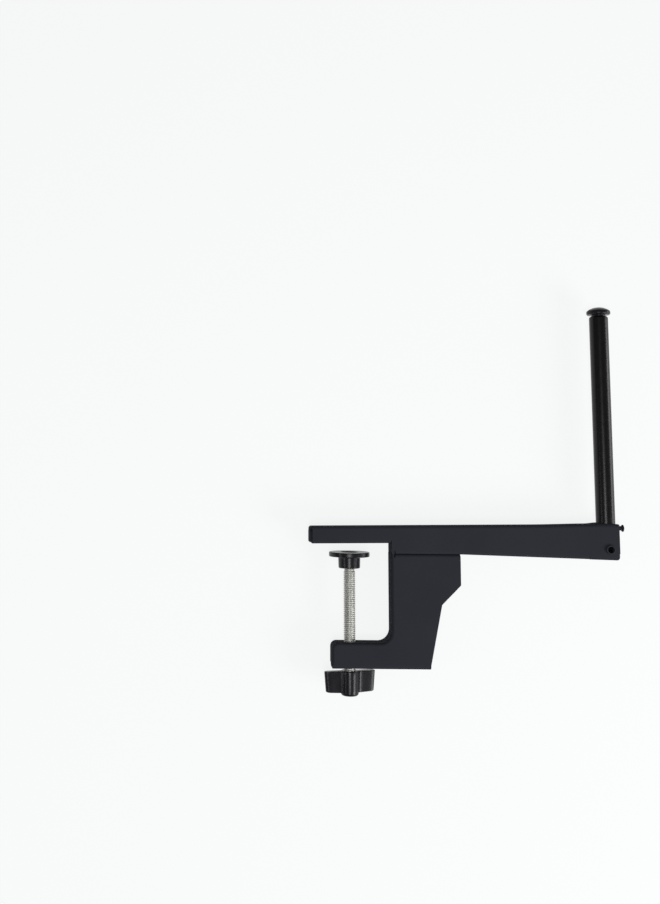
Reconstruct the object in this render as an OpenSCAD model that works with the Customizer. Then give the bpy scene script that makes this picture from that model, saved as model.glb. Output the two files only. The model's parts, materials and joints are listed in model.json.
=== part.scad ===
// Table tennis net clamp: a folded steel arm on a pressed steel C bracket,
// held on the table's edge by a screw with a swivel pad and a wing knob.
// It carries the net post, whose cap and end stud take the net's cords.
// The origin is on the screw's axis, at the face of the upper jaw.
// +Z is up along the screw and the post, +X runs out from the table to the post.

/* [Sheet steel] */
// Thickness of the sheet that the arm, jaw plate and bracket are folded from
sheet_t = 1.5; // [1:0.1:1.8]
// Room beside the post inside the arm, on each side
post_side_gap = 0.35; // [0.1:0.05:2]
// Outer radius of the long folds along the top of the arm
arm_fold_r = 2.3; // [2:0.1:4]
// Outer radius of the folds along the bottom of the arm
lip_fold_r = 2; // [1.9:0.1:3]

/* [Arm] */
// Length of the upper jaw, from its tip to the stop face
jaw_len = 55; // [45:1:90]
// Height of the upper jaw over the screw
jaw_h = 11.4; // [8:0.1:18]
// Droop of the upper jaw towards its tip, in degrees
jaw_droop = 0.8; // [0:0.1:2.5]
// Reach from the stop face to the outer side of the post
post_reach = 154.6; // [100:0.1:200]
// How far the arm hangs below the jaw face, over the bracket
arm_drop = 6.8; // [5:0.1:12]
// How far the arm hangs below the jaw face, at the post end
arm_end_drop = 9.7; // [8:0.1:16]
// Radius of the lower corner at the post end
end_corner_r = 2; // [0.5:0.1:4]
// Width of the slot between the arm's bottom lips
lip_gap = 8; // [2:0.1:10]
// How far the lips stop short of the post end
lip_stop = 22; // [16:1:60]
// Height of the collar that is drawn up round the post
collar_h = 1.4; // [0.6:0.1:2.5]
// How much wider that collar is at its foot, on each side
collar_flare = 0.4; // [0.1:0.1:0.6]
// Room between the collar and the folds along the arm's top
fold_room = 0.3; // [0.1:0.1:1]
// Fall of the arm's top from the straight line, at the post end
end_fall = 0.2; // [0.2:0.1:2]
// Outer radius of the fold between the arm's top and its end wall
end_fold_r = 1.8; // [1.6:0.1:2.5]
// How far the end wall stops above the arm's lower edge
end_wall_gap = 4; // [2.5:0.1:6]
// Width of the end wall, which is folded down between the arm's sides
end_wall_w = 9.2; // [7:0.1:11]
// How far the arm's step stands back from the stop face
step_back = 0.4; // [0:0.1:1.5]
// Width and height of the inside corner between the jaw plate and its tab
jaw_fold = 0.5; // [0.1:0.1:1.4]

/* [Bracket] */
// Distance from the stop face to the screw's axis
screw_inset = 27.5; // [22:0.5:40]
// Clear height between the jaws
throat_h = 65.7; // [50:0.1:100]
// Height of the lower jaw
lower_jaw_h = 16.9; // [13:0.1:28]
// Length of the lower jaw, from the stop face to its front end
lower_jaw_len = 40.1; // [36:0.1:55]
// Width of the bracket where it meets the arm
bracket_w = 46.8; // [36:0.1:80]
// Height of the bracket's upright outer edge
shoulder_h = 20.4; // [10:0.1:30]
// Width and height of the sloping shoulder
shoulder_run = 12.9; // [4:0.1:16]
// Width of the bracket at its foot, from the stop face
foot_w = 26.1; // [14:0.1:30]
// Radius of the inside corner of the throat
throat_r = 8; // [3:0.5:14]
// Radius of the lower jaw's front corner
nose_r = 4; // [3:0.1:6]
// Outer radius of the folds round the throat and the nose
edge_fold_r = 2; // [1.9:0.1:2.8]
// Outer radius of the fold along the bracket's foot
foot_fold_r = 3; // [2:0.1:4]
// Seam between the bracket's two halves
seam = 0.1; // [0.05:0.05:0.4]
// Relief cut where two folds meet
relief = 1; // [0.4:0.1:2]

/* [Screw and knob] */
// Outside diameter of the clamp screw's thread
screw_d = 8; // [6:0.5:10]
// Diameter of the screw's journal in the pad
journal_d = 5; // [3:0.1:5.4]
// Height of the weld nut in the lower jaw
nut_h = 6.5; // [4:0.5:9]
// Room between the weld nut and the bracket's plates
nut_gap = 0.2; // [0.1:0.05:0.6]
// Height of the knob's wings at their tips
wing_h = 13.5; // [8:0.1:20]
// Width of the knob over its wings, at the top
knob_w = 35.9; // [28:0.1:50]
// How far the knob is turned from along the arm, in degrees
knob_turn = 14; // [-90:1:90]
// How much narrower the wings are at their lower ends, on each side
wing_taper = 1.1; // [0:0.1:3]
// Thickness of a wing
wing_t = 4.6; // [3:0.1:7]
// Fall of a wing's lower edge towards the hub
wing_fall = 1; // [0:0.1:3]
// Diameter of the knob's hub
hub_d = 12; // [11.2:0.1:16]
// Height of the knob's hub
hub_h = 16.2; // [15:0.1:26]
// Radius of the hollow between a wing and the hub
web_r = 3; // [1.5:0.1:4]
// Gap between the knob and the bracket, with the screw as it is drawn
knob_gap = 2.1; // [0.5:0.1:20]

/* [Swivel pad] */
// Diameter of the pad
pad_d = 27.6; // [20:0.1:40]
// Height of the pad's rim
pad_rim = 3; // [2.6:0.1:5]
// Diameter of the pad's neck
neck_d = 15; // [13.4:0.1:18]
// Height of the whole pad
pad_h = 10.8; // [9:0.1:16]
// Gap between the upper jaw and the pad, with the screw as it is drawn
pad_gap = 6.2; // [1:0.1:40]
// Thickness of the knob's closed end
knob_floor = 3; // [2:0.1:6]
// Depth of the hollow in the pad's face
hollow_h = 2.2; // [2:0.1:2.5]
// Diameter of the hollow in the pad's face
hollow_d = 12; // [11:0.1:13]
// Thickness of the pad under the hollow, which takes the screw's thrust
pad_web = 2; // [1.2:0.1:3]
// Diameter of the washer in the hollow
washer_d = 10; // [8:0.1:10.6]
// Thickness of that washer
washer_t = 0.8; // [0.5:0.1:1]
// Height of the screw's peened end over the washer
peen_h = 0.5; // [0.4:0.1:0.9]

/* [Post] */
// Outside diameter of the post
post_d = 12.7; // [12:0.1:16]
// Wall of the post
post_wall = 1.2; // [0.8:0.1:1.8]
// Height of the post's top over the jaw face
post_top = 157.5; // [100:0.5:200]
// How far the post's foot stands above the arm's lower edge
foot_lift = 1.5; // [0.5:0.1:3]
// Chamfer at the top of the post
post_chamfer = 0.7; // [0.2:0.1:0.75]
// Shank diameter of the tubular rivet through the post's foot
rivet_d = 5; // [4:0.1:6]
// Wall of that rivet
rivet_wall = 0.45; // [0.3:0.05:0.9]
// Diameter of the rivet's rolled rims
rim_d = 6.5; // [6.2:0.1:9]
// Height of the rivet above the arm's lower edge
rivet_up = 6.9; // [5.5:0.1:9]
// Diameter of the cord stud's neck
stud_d = 3; // [2.5:0.1:4]
// Diameter of the stud's head
stud_head_d = 4.8; // [4.4:0.1:7]
// Thickness of the stud's head
stud_head_t = 1.4; // [0.8:0.1:2]
// Length of the stud's neck
stud_len = 3; // [2:0.1:8]
// Depth of the stud below the top of the arm
stud_down = 2.4; // [2.4:0.1:8]

/* [Post cap] */
// Diameter of the cap's head
cap_d = 16.4; // [14:0.1:22]
// Thickness of the head at its rim
cap_rim = 2.6; // [0.8:0.1:3.5]
// Height of the head's dome
cap_dome = 2.9; // [1:0.1:5]
// Height of the cap's neck, which the cord lies on
cap_neck = 1.4; // [1:0.1:6]
// Diameter of the cap's neck
cap_neck_d = 9.4; // [8:0.1:10]
// Length of the cap's plug inside the post
plug_len = 14; // [6:0.5:30]
// Width of the slot for the cord
slot_w = 1.8; // [1:0.1:3]
// Depth of the slot below the top of the cap's dome
slot_depth = 2.4; // [1:0.1:5]
// How far the slot is turned from along the arm, in degrees
slot_turn = 12; // [-90:1:90]

/* [Fits] */
// Radial clearance of a turning or sliding fit
run_fit = 0.08; // [0.02:0.01:0.1]
// Clearance of a part that is riveted, welded or pushed in
set_fit = 0.05; // [0.02:0.01:0.1]
// Room between a moving face and its neighbour
face_gap = 0.1; // [0.05:0.05:0.3]
// Extra width of a plain hole round the screw
hole_room = 0.6; // [0.3:0.1:1]

/* [Hidden] */
$fn = 96;

steel = [0.16, 0.17, 0.2];
tube_black = [0.1, 0.1, 0.12];
plastic = [0.07, 0.07, 0.08];
zinc = [0.72, 0.73, 0.72];

// what is cut away runs past its faces by this much
over = 1;
// more than the part is wide or high
far = 400;

inner_w = post_d + 2 * post_side_gap;
arm_w = inner_w + 2 * sheet_t;
half_w = arm_w / 2;

stop_x = screw_inset;
step_x = stop_x + step_back;
tip_x = stop_x - jaw_len;
post_x = stop_x + post_reach - post_d / 2;
end_x = post_x + post_d / 2 + set_fit + sheet_t;
wall_end_x = end_x - sheet_t - set_fit;
kink_x = stop_x + bracket_w + sheet_t;
arm_low = -arm_drop;
end_low = -arm_end_drop;
end_slope = atan2(end_low - arm_low, end_x - kink_x);
lip_start_x = step_x + sheet_t + relief;
lip_end_x = end_x - lip_stop;

function jaw_z(x) = x * tan(jaw_droop);
function arm_top(x) = jaw_h + jaw_z(x);
function arm_bottom(x) = x < kink_x ? arm_low : arm_low + (x - kink_x) * tan(end_slope);

// the line of the arm's top in the side view, from its tip over the post to its end
end_top = arm_top(end_x) - end_fall;
top_line = [[tip_x, arm_top(tip_x)], [post_x, arm_top(post_x)], [end_x, end_top]];

nose_x = stop_x - lower_jaw_len;
lower_z = -throat_h;
base_z = lower_z - lower_jaw_h;
outer_x = stop_x + bracket_w;
shoulder_z = arm_low - shoulder_h;
foot_x = stop_x + foot_w;

rivet_z = arm_bottom(post_x) + rivet_up;
stud_z = end_top - stud_down;
post_foot = arm_bottom(post_x) + foot_lift;

screw_r = screw_d / 2;
pad_top = -pad_gap;
pad_base = pad_top - pad_h;
hollow_z = pad_top - hollow_h;
thrust_z = hollow_z - pad_web;
knob_top = base_z - knob_gap;
screw_foot = knob_top - hub_h + knob_floor;

// an outline in the side view, as thick as the space from y0 to y1
module side_plate(y0, y1) {
    translate([0, y1, 0])
        rotate([90, 0, 0])
            linear_extrude(y1 - y0)
                children();
}

// a convex corner of radius r, turned by the angle turn, that is cut away from an outline
module corner_cut(r, turn) {
    rotate(turn)
        difference() {
            translate([-r, -r])
                square(r + over);
            translate([-r, -r])
                circle(r);
        }
}

// the arm's outline in the side view
module arm_outline() {
    difference() {
        polygon(concat([[tip_x, jaw_z(tip_x)]], top_line, [
            [end_x, end_low],
            [kink_x, arm_low],
            [step_x, arm_low],
            [step_x, jaw_z(step_x)]
        ]));
        translate([end_x, end_top])
            corner_cut(end_fold_r, 0);
        translate([wall_end_x, end_low])
            corner_cut(end_corner_r, -90);
    }
}

// what rounds both long edges of the arm along one straight run of its outline;
// turn is 0 for the arm's top and -90 for its bottom
module fold_cut(from, to, r, turn) {
    run = to - from;
    past = 0.2;
    for (side = [0, 1])
        mirror([0, side, 0])
            translate([from.x, half_w, from.y])
                rotate([0, -atan2(run.y, run.x), 0])
                    rotate([90, 0, 90])
                        translate([0, 0, -past])
                            linear_extrude(norm(run) + 2 * past)
                                corner_cut(r, turn);
}

// the arm's outer form: long folds rounded above, and below along the lips that stand clear of
// the bracket; past the lips the walls end in a raw edge
module arm_body() {
    difference() {
        side_plate(-half_w, half_w)
            arm_outline();
        fold_cut(top_line[0], top_line[1], arm_fold_r, 0);
        fold_cut(top_line[1], top_line[2], arm_fold_r, 0);
        fold_cut([kink_x, arm_low], [lip_end_x, arm_bottom(lip_end_x)], lip_fold_r, -90);
    }
}

// the ring that is drawn up round the post, as far as the arm's top is flat
module arm_collar() {
    foot = sheet_t / 2;
    r = post_d / 2 + sheet_t / 2;
    flat_w = arm_w - 2 * arm_fold_r - 2 * fold_room;
    translate([post_x, 0, arm_top(post_x) - foot])
        intersection() {
            cylinder(h = foot + collar_h, r1 = r + collar_flare, r2 = r);
            translate([-arm_w, -flat_w / 2, 0])
                cube([2 * arm_w, flat_w, foot + collar_h]);
        }
}

// the hollow that leaves the walls, with the lips along their lower edges
module arm_hollow() {
    x0 = tip_x + sheet_t;
    x1 = end_x - sheet_t;
    side_plate(-inner_w / 2, inner_w / 2)
        polygon(concat(
            [[x0, end_low - over]],
            [for (p = top_line) [max(x0, min(x1, p.x)), p.y - sheet_t]],
            [
                [x1, end_low - over],
                [lip_end_x, end_low - over],
                [lip_end_x, arm_bottom(lip_end_x) + sheet_t],
                [kink_x, arm_low + sheet_t],
                [lip_start_x, arm_low + sheet_t],
                [lip_start_x, end_low - over]
            ]
        ));
    translate([lip_start_x - over, -lip_gap / 2, end_low - over])
        cube([lip_end_x - lip_start_x + 2 * over, lip_gap, -end_low + over]);
}

module arm_channel() {
    color(steel)
        difference() {
            union() {
                arm_body();
                arm_collar();
            }
            arm_hollow();
            translate([post_x, 0, 0])
                cylinder(h = far, r = post_d / 2 + set_fit);
            translate([post_x, 0, rivet_z])
                rotate([90, 0, 0])
                    cylinder(h = arm_w + 2 * over, r = rivet_d / 2 + set_fit, center = true);
            translate([post_x, 0, stud_z])
                rotate([0, 90, 0])
                    cylinder(h = post_d, r = stud_d / 2 + set_fit);
            translate([post_x, -inner_w / 2, end_low - over])
                cube([post_d, inner_w, end_wall_gap + over]);
            // past the sides' ends, only the end wall is left
            for (side = [0, 1])
                mirror([0, side, 0])
                    translate([wall_end_x, end_wall_w / 2, end_low - over])
                        cube([post_d, arm_w, far]);
        }
}

// closes the upper jaw from below and turns down behind the arm's step
module jaw_plate() {
    x0 = tip_x + sheet_t + set_fit;
    width = inner_w - 2 * set_fit;
    color(steel)
        side_plate(-width / 2, width / 2)
            polygon([
                [x0, jaw_z(x0)],
                [step_x - jaw_fold, jaw_z(step_x - jaw_fold)],
                [step_x, jaw_z(step_x) - jaw_fold],
                [step_x, arm_low],
                [step_x + sheet_t, arm_low],
                [step_x + sheet_t, jaw_z(step_x) + sheet_t],
                [x0, jaw_z(x0) + sheet_t]
            ]);
}

// cross-section of a folded edge: first axis outwards, second from the seam to the plate
module edge_section(r) {
    leg = 0.4;
    translate([-sheet_t, seam / 2])
        square([sheet_t, half_w - r - seam / 2]);
    translate([-r, half_w - r])
        intersection() {
            difference() {
                circle(r);
                circle(r - sheet_t);
            }
            square(r);
        }
    translate([-r - leg, half_w - sheet_t])
        square([leg, sheet_t]);
}

// the bracket's plate, inside the folds
module bracket_plate_outline() {
    e = edge_fold_r;
    difference() {
        union() {
            polygon([
                [stop_x + e, arm_low - arm_fold_r],
                [outer_x, arm_low - arm_fold_r],
                [outer_x, shoulder_z],
                [outer_x - shoulder_run, shoulder_z - shoulder_run],
                [foot_x, base_z + foot_fold_r],
                [nose_x + e, base_z + foot_fold_r],
                [nose_x + e, lower_z - e],
                [stop_x + e, lower_z - e]
            ]);
            difference() {
                translate([stop_x - throat_r, lower_z - e])
                    square(throat_r + e);
                translate([stop_x - throat_r, lower_z + throat_r])
                    circle(throat_r + e);
            }
        }
        difference() {
            translate([nose_x, lower_z - nose_r])
                square(nose_r);
            translate([nose_x + nose_r, lower_z - nose_r])
                circle(nose_r - e);
        }
    }
}

// the rear half of the bracket; the front half is its mirror image
module bracket_half() {
    difference() {
        union() {
            side_plate(half_w - sheet_t, half_w)
                bracket_plate_outline();
            // throat
            translate([stop_x, 0, lower_z + throat_r])
                mirror([1, 0, 0])
                    linear_extrude(arm_low - lower_z - throat_r)
                        edge_section(edge_fold_r);
            // inside corner of the throat
            translate([stop_x - throat_r, 0, lower_z + throat_r])
                rotate([-90, 0, 0])
                    rotate_extrude(angle = 90)
                        translate([throat_r, 0])
                            mirror([1, 0])
                                edge_section(edge_fold_r);
            // top of the lower jaw
            translate([stop_x - throat_r, 0, lower_z])
                rotate([0, -90, 0])
                    linear_extrude(stop_x - throat_r - nose_x - nose_r)
                        edge_section(edge_fold_r);
            // nose
            translate([nose_x + nose_r, 0, lower_z - nose_r])
                rotate([-90, 0, 0])
                    rotate([0, 0, 180])
                        rotate_extrude(angle = 90)
                            translate([nose_r, 0])
                                edge_section(edge_fold_r);
            translate([nose_x, 0, base_z + foot_fold_r])
                mirror([1, 0, 0])
                    linear_extrude(lower_z - nose_r - base_z - foot_fold_r)
                        edge_section(edge_fold_r);
            // foot
            translate([nose_x + relief / 2, 0, base_z])
                rotate([0, 90, 0])
                    linear_extrude(foot_x - nose_x - relief / 2)
                        edge_section(foot_fold_r);
            // top, under the arm
            translate([outer_x, 0, arm_low])
                rotate([0, -90, 0])
                    linear_extrude(bracket_w - edge_fold_r - relief)
                        edge_section(arm_fold_r);
        }
        translate([0, 0, base_z - over])
            cylinder(h = lower_jaw_h + 2 * over, r = screw_r + hole_room);
    }
}

module bracket_front() {
    color(steel)
        mirror([0, 1, 0])
            bracket_half();
}

module bracket_rear() {
    color(steel)
        bracket_half();
}

// seated on the bracket's foot, where the screw's thrust presses it down;
// its lower end is turned to a cone, which clears the inside of the foot's folds
module weld_nut() {
    corner_r = (inner_w / 2 - nut_gap) / cos(30);
    seat_r = half_w - foot_fold_r - nut_gap;
    cone_h = corner_r + over - seat_r;
    color(zinc)
        translate([0, 0, base_z + sheet_t])
            difference() {
                cylinder(h = nut_h, r = corner_r, $fn = 6);
                difference() {
                    translate([0, 0, -over])
                        cylinder(h = cone_h + over, r = 2 * corner_r);
                    cylinder(h = cone_h, r1 = seat_r, r2 = seat_r + cone_h);
                }
                translate([0, 0, -over])
                    cylinder(h = nut_h + 2 * over, r = screw_r + run_fit);
            }
}

module post_tube() {
    color(tube_black)
        difference() {
            translate([post_x, 0, 0])
                rotate_extrude()
                    polygon([
                        [post_d / 2 - post_wall, post_foot],
                        [post_d / 2, post_foot],
                        [post_d / 2, post_top - post_chamfer],
                        [post_d / 2 - post_chamfer, post_top],
                        [post_d / 2 - post_wall, post_top]
                    ]);
            translate([post_x, 0, rivet_z])
                rotate([90, 0, 0])
                    cylinder(h = post_d + 2 * over, r = rivet_d / 2 + set_fit, center = true);
            translate([post_x, 0, stud_z])
                rotate([0, 90, 0])
                    cylinder(h = post_d, r = stud_d / 2 + set_fit);
        }
}

// tubular rivet, rolled over on both walls of the arm
module post_rivet() {
    rim = (rim_d - rivet_d) / 2 + rivet_wall;
    roll = rim / 2;
    color(steel)
        translate([post_x, 0, rivet_z])
            rotate([90, 0, 0])
                rotate_extrude() {
                    translate([rivet_d / 2 - rivet_wall, -half_w - roll])
                        square([rivet_wall, arm_w + 2 * roll]);
                    for (side = [-1, 1])
                        translate([rim_d / 2 - roll, side * (half_w + roll)])
                            circle(roll);
                }
}

// peened inside the post; the net's lower cord is wound round its neck
module cord_stud() {
    bore_r = post_d / 2 - post_wall;
    inner_x = post_x + sqrt(pow(bore_r, 2) - pow(stud_head_d / 2, 2));
    neck_x = end_x + stud_len;
    color(steel)
        translate([0, 0, stud_z])
            rotate([0, 90, 0])
                rotate_extrude()
                    polygon([
                        [0, inner_x - stud_head_t],
                        [stud_d / 2, inner_x - stud_head_t],
                        [stud_head_d / 2, inner_x - stud_head_t / 2],
                        [stud_head_d / 2, inner_x - set_fit],
                        [stud_d / 2, inner_x - set_fit],
                        [stud_d / 2, neck_x],
                        [stud_head_d / 2, neck_x + stud_head_t / 3],
                        [stud_head_d / 2, neck_x + stud_head_t * 2 / 3],
                        [stud_head_d / 3, neck_x + stud_head_t],
                        [0, neck_x + stud_head_t]
                    ]);
}

// pushed into the post; the net's top cord lies in its slot and on its neck
module post_cap() {
    plug_r = post_d / 2 - post_wall - set_fit;
    under = post_top + cap_neck;
    cap_top = under + cap_rim + cap_dome;
    dome_r = (pow(cap_d / 2, 2) + pow(cap_dome, 2)) / (2 * cap_dome);
    color(plastic)
        translate([post_x, 0, 0])
            difference() {
                union() {
                    translate([0, 0, post_top - plug_len])
                        cylinder(h = plug_len, r = plug_r);
                    translate([0, 0, post_top])
                        cylinder(h = cap_neck, d = cap_neck_d);
                    translate([0, 0, under])
                        cylinder(h = cap_rim, d = cap_d);
                    intersection() {
                        translate([0, 0, cap_top - dome_r])
                            sphere(dome_r);
                        translate([0, 0, under + cap_rim])
                            cylinder(h = far, d = cap_d);
                    }
                }
                rotate([0, 0, slot_turn])
                    translate([-cap_d, -slot_w / 2, cap_top - slot_depth])
                        cube([2 * cap_d, slot_w, far]);
            }
}

module swivel_pad() {
    rim_cut = pad_rim / 4;
    flare = 1.5;
    color(plastic)
        difference() {
            rotate_extrude()
                polygon([
                    [0, pad_base],
                    [neck_d / 2, pad_base],
                    [neck_d / 2, pad_top - pad_rim - flare],
                    [neck_d / 2 + flare, pad_top - pad_rim],
                    [pad_d / 2 - rim_cut, pad_top - pad_rim],
                    [pad_d / 2, pad_top - pad_rim + rim_cut],
                    [pad_d / 2, pad_top - rim_cut],
                    [pad_d / 2 - rim_cut, pad_top],
                    [0, pad_top]
                ]);
            translate([0, 0, hollow_z])
                cylinder(h = hollow_h + over, d = hollow_d);
            translate([0, 0, pad_base])
                cylinder(h = pad_h, r = journal_d / 2 + run_fit);
            translate([0, 0, pad_base - over])
                cylinder(h = thrust_z - pad_base + over, r = screw_r + run_fit);
        }
}

module clamp_screw() {
    peen_r = (journal_d + washer_d) / 4;
    shoulder_top = thrust_z - face_gap;
    washer_top = hollow_z + face_gap + washer_t;
    color(zinc)
        rotate_extrude()
            polygon([
                [0, screw_foot],
                [screw_r, screw_foot],
                [screw_r, shoulder_top],
                [journal_d / 2, shoulder_top],
                [journal_d / 2, washer_top],
                [peen_r, washer_top],
                [journal_d / 2, washer_top + peen_h],
                [0, washer_top + peen_h]
            ]);
}

// held by the screw's peened end, so that the pad turns but can't fall off
module pad_washer() {
    color(zinc)
        translate([0, 0, hollow_z + face_gap])
            difference() {
                cylinder(h = washer_t, d = washer_d);
                translate([0, 0, -over])
                    cylinder(h = washer_t + 2 * over, r = journal_d / 2 + set_fit);
            }
}

// the hollow curve between a wing and the hub, seen from above
module web_curve() {
    reach = sqrt(pow(hub_d / 2 + web_r, 2) - pow(wing_t / 2 + web_r, 2));
    difference() {
        square([reach, wing_t / 2 + web_r]);
        translate([reach, wing_t / 2 + web_r])
            circle(web_r);
    }
}

module knob_plan() {
    circle(d = hub_d);
    intersection() {
        union() {
            translate([-knob_w / 2 + wing_t / 2, -wing_t / 2])
                square([knob_w - wing_t, wing_t]);
            for (side = [-1, 1])
                translate([side * (knob_w / 2 - wing_t / 2), 0])
                    circle(d = wing_t);
            for (a = [0, 1], b = [0, 1])
                mirror([a, 0])
                    mirror([0, b])
                        intersection() {
                            web_curve();
                            circle(hub_d / 2 + web_r);
                        }
        }
        square([knob_w, hub_d], center = true);
    }
}

module knob_outline() {
    low = knob_top - wing_h;
    cut = 1;
    polygon([
        [-knob_w / 2, knob_top],
        [-knob_w / 2 + wing_taper, low + cut],
        [-knob_w / 2 + wing_taper + cut, low],
        [-hub_d / 2, low - wing_fall],
        [-hub_d / 2, knob_top - hub_h],
        [hub_d / 2, knob_top - hub_h],
        [hub_d / 2, low - wing_fall],
        [knob_w / 2 - wing_taper - cut, low],
        [knob_w / 2 - wing_taper, low + cut],
        [knob_w / 2, knob_top]
    ]);
}

module wing_knob() {
    color(plastic)
        rotate([0, 0, knob_turn])
            difference() {
                intersection() {
                    translate([0, 0, knob_top - hub_h])
                        linear_extrude(hub_h)
                            knob_plan();
                    side_plate(-hub_d / 2, hub_d / 2)
                        knob_outline();
                }
                translate([0, 0, screw_foot])
                    cylinder(h = far, r = screw_r + set_fit);
            }
}

arm_channel();
jaw_plate();
bracket_front();
bracket_rear();
weld_nut();
post_tube();
post_rivet();
cord_stud();
post_cap();
swivel_pad();
clamp_screw();
pad_washer();
wing_knob();
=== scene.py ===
# %% [markdown]
# # A table tennis net clamp, dressed from its CAD model
#
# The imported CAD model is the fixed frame: every piece below is made in its place, in millimetres,
# and turned to metres when its mesh is made. +Z runs up along the clamp screw, +X runs out to the
# post, and the clamp lies with its side (-Y) towards the camera, on a pale board behind it (+Y).

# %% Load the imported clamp
import json

import bmesh
import bpy
import numpy as np
from mathutils import Matrix, Vector


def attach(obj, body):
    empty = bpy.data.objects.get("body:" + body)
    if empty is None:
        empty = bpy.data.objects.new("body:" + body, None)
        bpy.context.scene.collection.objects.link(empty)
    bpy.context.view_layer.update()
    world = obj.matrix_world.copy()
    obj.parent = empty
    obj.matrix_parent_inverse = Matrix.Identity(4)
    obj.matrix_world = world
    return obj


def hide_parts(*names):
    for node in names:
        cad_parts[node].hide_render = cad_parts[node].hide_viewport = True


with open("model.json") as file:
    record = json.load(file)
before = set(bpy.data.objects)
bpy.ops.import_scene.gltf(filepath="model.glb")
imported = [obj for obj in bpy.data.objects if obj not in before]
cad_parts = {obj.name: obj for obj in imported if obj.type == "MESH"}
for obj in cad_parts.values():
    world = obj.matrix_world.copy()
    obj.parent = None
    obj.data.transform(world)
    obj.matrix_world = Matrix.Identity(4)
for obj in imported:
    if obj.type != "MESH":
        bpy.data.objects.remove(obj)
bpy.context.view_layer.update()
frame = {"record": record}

# %% [markdown]
# ## From numbers to a mesh
# Each skin is a grid of points, worked out as one array: the rows and columns are the two
# parameters of the surface. Neighbouring points are joined to quads, grids that share an edge are
# merged there, and the whole skin is turned so that its faces look outwards.

# %% Grids, faces and meshes
MM = 0.001
MERGE = 2e-6  # points closer than this, in metres, become one


def grid_faces(rows, columns, closed):
    """Each quad joins a point with its right, upper right and upper neighbours; a closed grid also
    joins its last column to its first."""
    index = np.arange(rows * columns).reshape(rows, columns)
    if closed:
        index = np.concatenate([index, index[:, :1]], axis=1)
    corners = [index[:-1, :-1], index[:-1, 1:], index[1:, 1:], index[1:, :-1]]
    return np.stack(corners, axis=-1).reshape(-1, 4)


def make_piece(name, grids, outlook, closed=False, plates=()):
    """One mesh from several grids of points in millimetres, and flat plates given by their outline.
    outlook is a direction: the face that lies furthest that way must look that way."""
    points, faces, start = [], [], 0
    for grid in grids:
        rows, columns = grid.shape[:2]
        faces += (grid_faces(rows, columns, closed) + start).tolist()
        points.append(grid.reshape(-1, 3))
        start += rows * columns
    for plate in plates:
        faces.append(list(range(start, start + len(plate))))
        points.append(np.asarray(plate, float))
        start += len(plate)
    mesh = bpy.data.meshes.new(name)
    mesh.from_pydata(np.concatenate(points) * MM, [], faces)
    work = bmesh.new()
    work.from_mesh(mesh)
    bmesh.ops.remove_doubles(work, verts=work.verts, dist=MERGE)
    bmesh.ops.dissolve_degenerate(work, edges=work.edges, dist=MERGE / 2)
    bmesh.ops.recalc_face_normals(work, faces=work.faces)
    look = Vector(outlook)
    far_face = max(work.faces, key=lambda f: f.calc_center_median().dot(look))
    if far_face.normal.dot(look) < 0:
        bmesh.ops.reverse_faces(work, faces=work.faces)
    work.to_mesh(mesh)
    work.free()
    piece = bpy.data.objects.new(name, mesh)
    bpy.context.scene.collection.objects.link(piece)
    return piece


print("a closed grid of 3 by 4 points has", len(grid_faces(3, 4, True)), "quads")

# %% [markdown]
# ## Outlines with rounded corners, and turned pieces
# Sheet metal and moulded parts have no sharp corners. An outline is given by its corners, each
# with its radius, and the corner is replaced by an arc that touches both sides.

# %% Rounded outlines and turned surfaces


def rounded(corners, steps=6):
    """An outline from (u, v, radius) corners. An arc of radius r touches both sides of a corner at
    r / tan(half the corner's angle) from it; its centre is r / sin(half the angle) away, on the
    line that halves the corner. A radius of 0 keeps the corner."""
    corners = np.asarray(corners, float)
    outline = []
    for i, (u, v, r) in enumerate(corners):
        here = np.array([u, v])
        if r == 0 or i in (0, len(corners) - 1):
            outline.append(here[None])
            continue
        back = corners[i - 1, :2] - here
        ahead = corners[i + 1, :2] - here
        back, ahead = back / np.hypot(*back), ahead / np.hypot(*ahead)
        half = np.arccos(np.clip(back @ ahead, -1, 1)) / 2
        middle = (back + ahead) / np.hypot(*(back + ahead))
        centre = here + middle * r / np.sin(half)
        reach = np.pi / 2 - half
        turn = np.linspace(-reach, reach, steps + 1)[:, None]
        across = back - ahead
        across /= np.hypot(*across)
        outline.append(centre + r * (-middle * np.cos(turn) - across * np.sin(turn)))
    return np.concatenate(outline)


def turned(profile, count=72, centre=(0.0, 0.0)):
    """A profile of (radius, height) pairs carried round an upright axis:
    x = radius cos(angle), y = radius sin(angle), z = height."""
    angle = np.arange(count) * 2 * np.pi / count
    r, z = profile[:, :1], profile[:, 1:]
    return np.stack(
        [centre[0] + r * np.cos(angle), centre[1] + r * np.sin(angle), z + 0 * angle], axis=-1
    )


def lay_along(grid, axis):
    """Lays a surface that was turned round Z along another axis, by swapping coordinates in a
    ring, so that it isn't mirrored."""
    return {"z": grid, "x": grid[..., [2, 0, 1]], "y": grid[..., [1, 2, 0]]}[axis]


print("one rounded corner has", len(rounded([(0, 0, 0), (9, 0, 2), (9, 9, 0)])) - 2, "points")

# %% [markdown]
# ## Finishing a piece
# A skin gets its sheet thickness from Solidify, holes are drilled with turned cutters, and Bevel
# breaks the cut edges by a tenth or two of a millimetre, because an edge of real sheet always
# catches a thin line of light. The modifiers are then applied and the object stays at the origin.

# %% Thickness, holes, edges


def settle(piece):
    """Applies the modifiers by taking the evaluated mesh."""
    graph = bpy.context.evaluated_depsgraph_get()
    done = bpy.data.meshes.new_from_object(piece.evaluated_get(graph))
    piece.modifiers.clear()
    piece.data = done
    return piece


def thicken(piece, sheet):
    """Grows the skin inwards by the sheet's thickness, the same across every bend."""
    solid = piece.modifiers.new("sheet", "SOLIDIFY")
    solid.thickness = sheet * MM
    solid.offset = -1
    solid.use_even_offset = True
    return settle(piece)


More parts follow.
